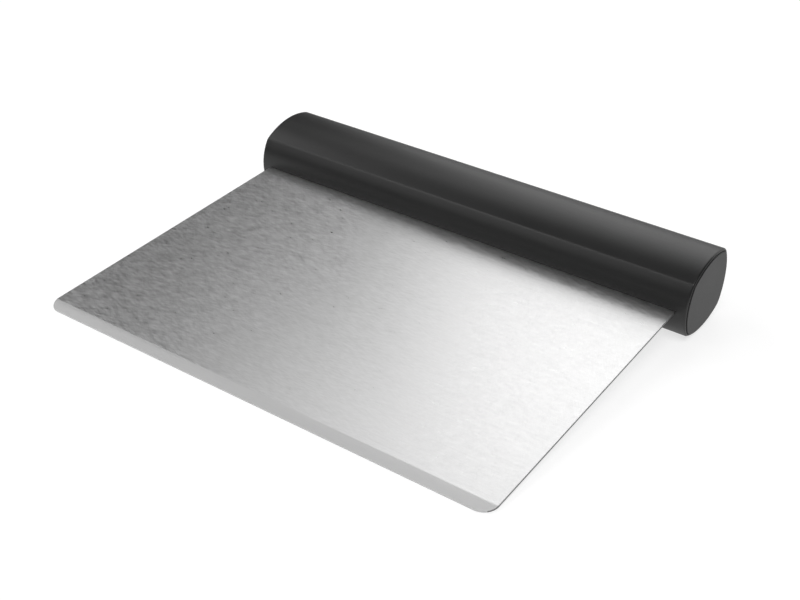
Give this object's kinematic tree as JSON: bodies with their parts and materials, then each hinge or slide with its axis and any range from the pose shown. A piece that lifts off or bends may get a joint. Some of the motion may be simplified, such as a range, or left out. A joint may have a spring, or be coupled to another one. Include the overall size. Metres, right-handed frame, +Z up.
{
  "type": "bench scraper",
  "caption": "Wide flat steel scraper blade with a ground front edge and rounded corners, held in a black moulded handle along its whole back edge, lying at rest.",
  "frame": {"origin": "centre of the bounding box at the floor, with the scraper lying on its front edge and on the handle's lower dome", "axes": "+X along the handle and the blade's front edge, +Y from the front edge to the handle, +Z up"},
  "size_m": [0.1574, 0.128, 0.0244],
  "materials": {
    "blade_steel": "brushed along the handle, satin",
    "grip_plastic": "satin black, moulded",
    "cap_plastic": "satin black, moulded",
    "core_plastic": "as moulded, not seen",
    "rivet_metal": "plain, not seen"
  },
  "bodies": {
    "root": {"blade": "blade_steel", "core_upper": "core_plastic", "core_lower": "core_plastic", "rivet_left": "rivet_metal", "rivet_middle": "rivet_metal", "rivet_right": "rivet_metal", "grip": "grip_plastic", "end_cap_left": "cap_plastic", "end_cap_right": "cap_plastic"}
  },
  "joints": []
}
